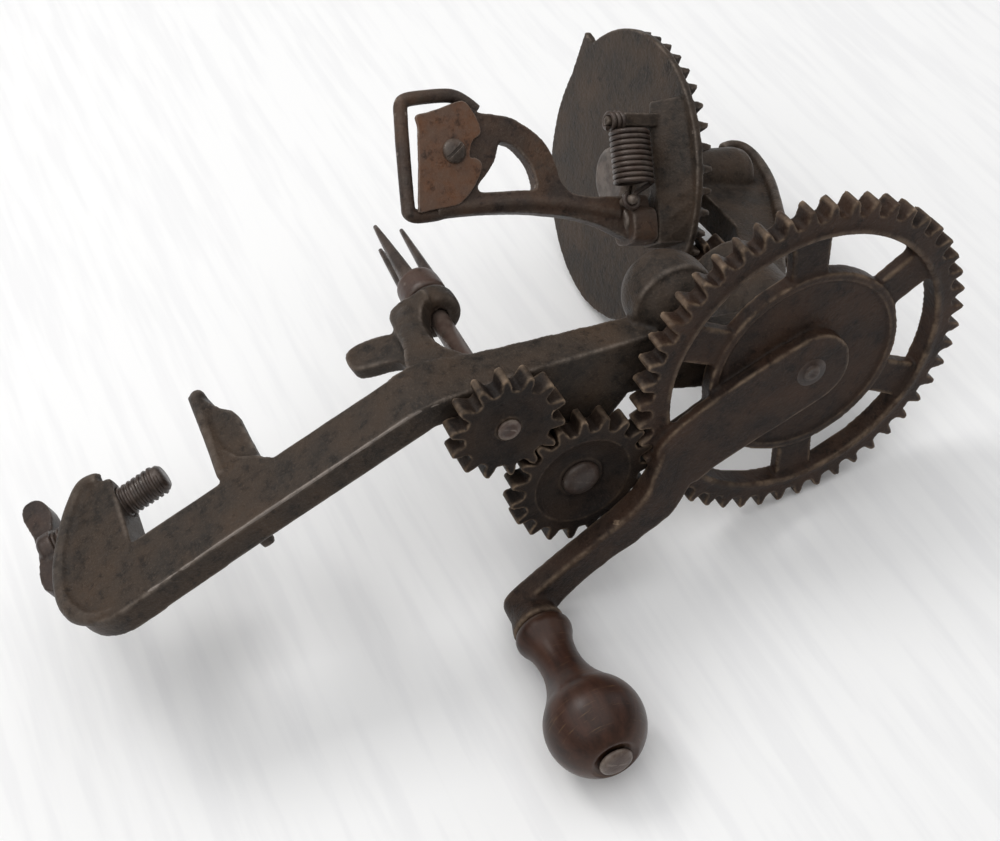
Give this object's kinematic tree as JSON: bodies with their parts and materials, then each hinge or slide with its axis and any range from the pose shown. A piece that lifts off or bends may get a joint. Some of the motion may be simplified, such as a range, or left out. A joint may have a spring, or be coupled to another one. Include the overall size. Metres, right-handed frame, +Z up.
{
  "type": "apple parer",
  "caption": "Clamp-on cast-iron apple parer: a cranked gear wheel turns a pronged fork and a toothed turntable that carries a sprung knife arm.",
  "frame": {"origin": "on the axis of the clamp screw, at the flat underside of the upper jaw that sits on the table top", "axes": "+Z up the clamp leg, +X towards the crank side along the fork and drive axes, +Y the way the upper frame leans, over the table"},
  "size_m": [0.2208, 0.1487, 0.2762],
  "materials": {
    "iron": "dark oiled patina",
    "worn_iron": "rubbed brown patina",
    "steel": "tarnished steel",
    "wood": "dark stained and hand polished"
  },
  "bodies": {
    "frame": {"frame": "iron", "idler_stud": "steel", "table_pivot": "steel"},
    "clamp": {"clamp_screw": "worn_iron"},
    "drive": {"drive_gear": "iron", "drive_shaft": "steel", "table_pinion": "worn_iron", "handle_pin": "steel"},
    "grip": {"handle_grip": "wood"},
    "idler": {"idler_gear": "iron"},
    "fork": {"fork_pinion": "iron", "fork_spindle": "steel", "fork_head": "worn_iron", "fork_tines": "steel"},
    "table": {"turntable": "iron", "hinge_pin": "steel", "arm_spring": "steel"},
    "arm": {"knife_arm": "iron", "spring_stud": "steel", "knife_guard": "iron", "knife_blade": "steel", "blade_screw": "steel"}
  },
  "joints": [
    {"name": "crank_turn", "type": "hinge", "parent": "frame", "child": "drive", "pos_m": [0, 0.0576, 0.157], "axis": [1, 0, 0], "range_deg": [-1620, 120]},
    {"name": "grip_spin", "type": "hinge", "parent": "drive", "child": "grip", "pos_m": [0, 0.07465, 0.04934], "axis": [1, 0, 0], "continuous": true},
    {"name": "idler_turn", "type": "hinge", "parent": "frame", "child": "idler", "pos_m": [0, 0.04683, 0.08409], "axis": [1, 0, 0], "range_deg": [-310, 4100]},
    {"name": "fork_turn", "type": "hinge", "parent": "frame", "child": "fork", "pos_m": [0, 0.01169, 0.075], "axis": [1, 0, 0], "range_deg": [-5560, 415]},
    {"name": "table_turn", "type": "hinge", "parent": "frame", "child": "table", "pos_m": [-0.0552, 0.04792, 0.15111], "axis": [0, 0.6157, 0.788], "range_deg": [-222, 17]},
    {"name": "arm_swing", "type": "hinge", "parent": "table", "child": "arm", "pos_m": [-0.01879, 0.04411, 0.15409], "axis": [0, 0.6157, 0.788], "range_deg": [-6, 14], "stiffness_Nm_per_rad": 0.6, "deforming": ["arm_spring"]},
    {"name": "clamp_lift", "type": "slide", "parent": "frame", "child": "clamp", "axis": [0, 0, 1], "range_m": [-0.013, 0]}
  ],
  "couplings": [
    {"joint": "idler_turn", "follows": "crank_turn", "ratio": -2.5263},
    {"joint": "fork_turn", "follows": "crank_turn", "ratio": 3.4286},
    {"joint": "table_turn", "follows": "crank_turn", "ratio": 0.13636}
  ]
}
